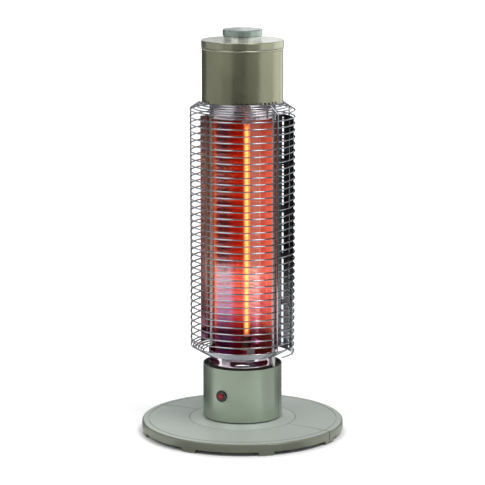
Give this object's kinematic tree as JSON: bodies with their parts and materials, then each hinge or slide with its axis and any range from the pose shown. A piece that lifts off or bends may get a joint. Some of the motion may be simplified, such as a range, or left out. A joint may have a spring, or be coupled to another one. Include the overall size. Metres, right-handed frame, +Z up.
{
  "type": "electric radiant tower heater",
  "caption": "Free-standing electric radiant heater: lamp and trough reflector in a ring-wire guard, on a swivel column and round base, with a dial on the head.",
  "frame": {"origin": "centre of the base on the floor", "axes": "+Z up along the column, -Y out of the front of the reflector, +X to the right seen from the front"},
  "size_m": [0.31, 0.31, 0.6203],
  "materials": {
    "base_cover": "satin silver plastic",
    "shell_paint": "champagne metallic paint",
    "cap_paint": "champagne metallic paint",
    "dial_metal": "grey silver paint",
    "pointer_black": "black inlay",
    "chrome_wire": "bright chrome plate",
    "polished_sheet": "bright polished sheet",
    "collar_chrome": "bright plated sheet",
    "post_steel": "bright steel rod",
    "inner_steel": "zinc plated steel",
    "black_enamel": "black enamel",
    "quartz": "clear quartz",
    "glow": "glowing carbon filament",
    "ceramic_white": "white ceramic",
    "lens_red": "red pilot lens",
    "bezel_black": "black bezel",
    "rubber_black": "black rubber",
    "inner_plastic": "black plastic",
    "white_nylon": "white nylon"
  },
  "bodies": {
    "base": {"base_front": "base_cover", "base_rear": "base_cover", "base_plate": "inner_steel", "rubber_feet": "rubber_black", "base_screws": "inner_steel", "base_hub": "base_cover", "hub_screws": "inner_steel", "tipover_switch": "inner_plastic", "thrust_washer": "white_nylon", "swivel_retainer": "inner_steel", "retainer_screws": "inner_steel"},
    "plunger": {"tipover_plunger": "white_nylon"},
    "column": {"column_floor": "inner_steel", "column_front": "shell_paint", "column_rear": "shell_paint", "pilot_bezel": "bezel_black", "pilot_lens": "lens_red", "pilot_lamp": "inner_plastic", "terminal_block": "white_nylon", "cord_gland": "rubber_black", "column_deck": "inner_steel", "lower_collar": "collar_chrome", "upper_collar": "collar_chrome", "post_left": "post_steel", "post_right": "post_steel", "reflector": "polished_sheet", "lamp_bracket": "inner_steel", "lamp_hanger": "inner_steel", "lower_holder": "ceramic_white", "upper_holder": "ceramic_white", "quartz_tube": "quartz", "filament": "glow", "rear_sheet": "polished_sheet", "guard_rings_low": "chrome_wire", "guard_rings_middle": "chrome_wire", "guard_rings_high": "chrome_wire", "guard_uprights": "chrome_wire", "head_floor": "black_enamel", "head_front": "shell_paint", "head_rear": "shell_paint", "head_trim_ring": "cap_paint", "head_cap": "cap_paint", "rotary_switch": "inner_plastic", "thermal_cutout": "inner_steel", "rear_screws": "inner_steel"},
    "dial": {"knob": "dial_metal", "knob_pointer": "pointer_black", "switch_shaft": "inner_steel"}
  },
  "joints": [
    {"name": "column_swivel", "type": "hinge", "parent": "base", "child": "column", "pos_m": [0, 0, 0.026], "axis": [0, 0, 1], "range_deg": [-35, 35]},
    {"name": "dial_turn", "type": "hinge", "parent": "column", "child": "dial", "pos_m": [0, 0, 0.612], "axis": [0, 0, 1], "range_deg": [-135, 135]},
    {"name": "plunger_slide", "type": "slide", "parent": "base", "child": "plunger", "axis": [0, 0, 1], "range_m": [-0.004, 0], "stiffness_N_per_m": 60, "springref_m": -0.004}
  ]
}
